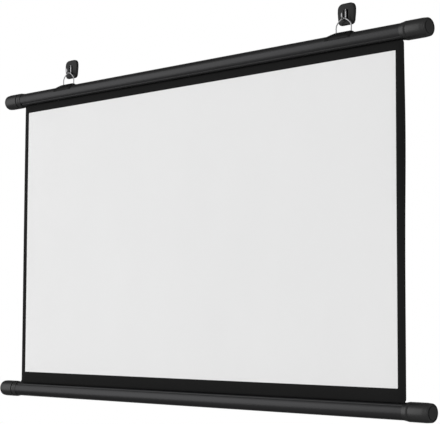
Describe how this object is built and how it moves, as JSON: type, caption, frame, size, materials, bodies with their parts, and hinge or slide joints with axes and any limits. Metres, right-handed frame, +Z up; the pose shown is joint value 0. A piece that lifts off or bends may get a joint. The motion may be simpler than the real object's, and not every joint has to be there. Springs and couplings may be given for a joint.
{
  "type": "pull-down projection screen",
  "caption": "Pull-down projection screen: round case, bordered white sheet on a spring roller, weight bar, and two adhesive wall hooks with wire rings.",
  "frame": {"origin": "on the wall, on the screen's centre plane, at the height of the hook plates' centres", "axes": "+X along the screen to the viewer's right, +Y into the wall, +Z up"},
  "size_m": [1.8184, 0.0534, 1.1437],
  "materials": {
    "black_plastic": "fine moulded grain, satin",
    "black_metal": "satin black powder coat on aluminium",
    "steel": "zinc plated",
    "aluminium": "mill finish tube",
    "nylon": "natural nylon",
    "white_fabric": "matt white coated glass-fibre cloth with printed black borders",
    "black_fabric": "matt black coated cloth",
    "foam": "double-sided adhesive foam"
  },
  "bodies": {
    "wall_hooks": {"left_hook_plate": "black_plastic", "right_hook_plate": "black_plastic", "left_hook_pad": "foam", "right_hook_pad": "foam", "left_hook_arm": "steel", "right_hook_arm": "steel", "left_hook_rivet": "steel", "right_hook_rivet": "steel"},
    "hanger_rings": {"left_hanger_ring": "steel", "right_hanger_ring": "steel"},
    "case": {"left_saddle": "black_plastic", "right_saddle": "black_plastic", "left_saddle_screw_outer": "steel", "left_saddle_screw_inner": "steel", "right_saddle_screw_outer": "steel", "right_saddle_screw_inner": "steel", "case_tube": "black_metal", "left_case_collar": "black_plastic", "right_case_collar": "black_plastic", "left_case_end_knob": "black_plastic", "right_case_end_knob": "black_plastic", "left_case_knob_screw": "steel", "right_case_knob_screw": "steel", "left_roller_bracket": "steel", "right_roller_bracket": "steel", "idle_bush": "nylon", "spindle": "steel", "lock_wheel": "steel", "spring_anchor": "nylon", "return_spring": "steel", "fabric_leader": "black_fabric", "screen_fabric": "white_fabric"},
    "roller": {"roller_tube": "aluminium", "wound_leader": "black_fabric", "pawl_plug": "nylon", "idle_plug": "nylon", "idle_pin": "steel", "spindle_bush": "nylon", "upper_pawl_pin": "steel", "lower_pawl_pin": "steel"},
    "upper_pawl": {"upper_pawl": "steel"},
    "lower_pawl": {"lower_pawl": "steel"},
    "weight_bar": {"bar_tube": "black_metal", "left_bar_collar": "black_plastic", "right_bar_collar": "black_plastic", "left_bar_end_knob": "black_plastic", "right_bar_end_knob": "black_plastic", "left_bar_knob_screw": "steel", "right_bar_knob_screw": "steel", "fabric_hem": "black_fabric", "hem_rod": "nylon", "ballast_rod": "steel"}
  },
  "joints": [
    {"name": "ring_swing", "type": "hinge", "parent": "wall_hooks", "child": "hanger_rings", "pos_m": [0, -0.0189, -0.014], "axis": [-1, 0, 0], "range_deg": [0, 35]},
    {"name": "case_tilt", "type": "hinge", "parent": "hanger_rings", "child": "case", "pos_m": [0, -0.019, -0.05901], "axis": [-1, 0, 0], "range_deg": [-25, 25]},
    {"name": "screen_travel", "type": "slide", "parent": "case", "child": "weight_bar", "axis": [0, 0, 1], "range_m": [0, 0.9491], "deforming": ["screen_fabric"]},
    {"name": "roller_spin", "type": "hinge", "parent": "case", "child": "roller", "pos_m": [0, -0.0272, -0.0835], "axis": [1, 0, 0], "range_deg": [0, 3600.5]},
    {"name": "upper_pawl_swing", "type": "hinge", "parent": "roller", "child": "upper_pawl", "pos_m": [-0.8445, -0.0327, -0.0731], "axis": [-1, 0, 0], "range_deg": [0, 20]},
    {"name": "lower_pawl_swing", "type": "hinge", "parent": "roller", "child": "lower_pawl", "pos_m": [-0.8445, -0.0217, -0.0939], "axis": [-1, 0, 0], "range_deg": [0, 20]}
  ],
  "couplings": [
    {"joint": "roller_spin", "follows": "screen_travel", "rad_per_m": 66.202}
  ]
}
